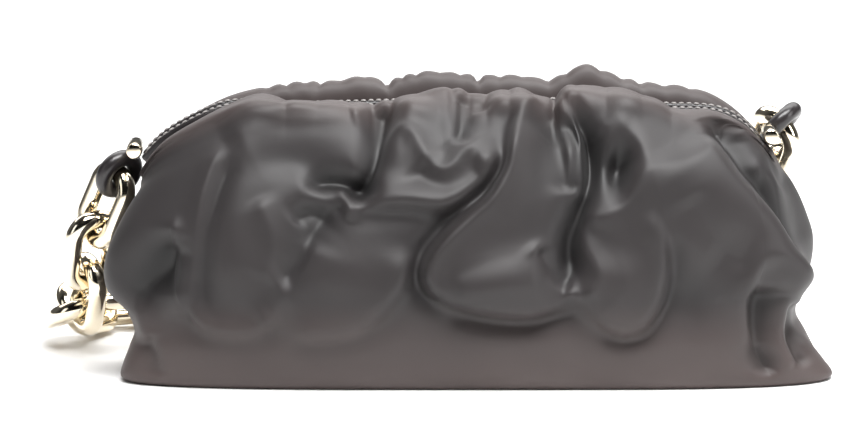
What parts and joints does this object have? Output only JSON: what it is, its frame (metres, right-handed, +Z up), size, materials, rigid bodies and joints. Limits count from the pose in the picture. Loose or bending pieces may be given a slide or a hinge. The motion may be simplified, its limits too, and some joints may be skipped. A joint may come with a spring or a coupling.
{
  "type": "gathered pouch bag with chain",
  "caption": "Soft gathered leather frame pouch with a long slit mouth, tucked ends and a chunky metal chain from end to end.",
  "frame": {"origin": "centre of the flat underside that the bag stands on", "axes": "+X towards the bag's right end seen from the front, -Y towards the front, +Z up"},
  "size_m": [0.3597, 0.1573, 0.1373],
  "materials": {
    "leather": "soft semi-gloss nappa, brown-black",
    "frame_leather": "smooth glossy edge-bound leather, black-brown",
    "chain_metal": "polished pale gold plate"
  },
  "bodies": {
    "root": {"pouch_body": "leather", "mouth_frame_front": "frame_leather", "mouth_frame_back": "frame_leather", "hinge_pin_left": "chain_metal", "hinge_pin_right": "chain_metal", "strap_loop_left": "frame_leather", "strap_loop_right": "frame_leather", "link_01": "chain_metal", "link_02": "chain_metal", "link_03": "chain_metal", "link_04": "chain_metal", "link_05": "chain_metal", "link_06": "chain_metal", "link_07": "chain_metal", "link_08": "chain_metal", "link_09": "chain_metal", "link_10": "chain_metal", "link_11": "chain_metal", "link_12": "chain_metal", "link_13": "chain_metal", "link_14": "chain_metal", "link_15": "chain_metal", "link_16": "chain_metal", "link_17": "chain_metal", "link_18": "chain_metal", "link_19": "chain_metal", "link_20": "chain_metal", "link_21": "chain_metal"}
  },
  "joints": []
}
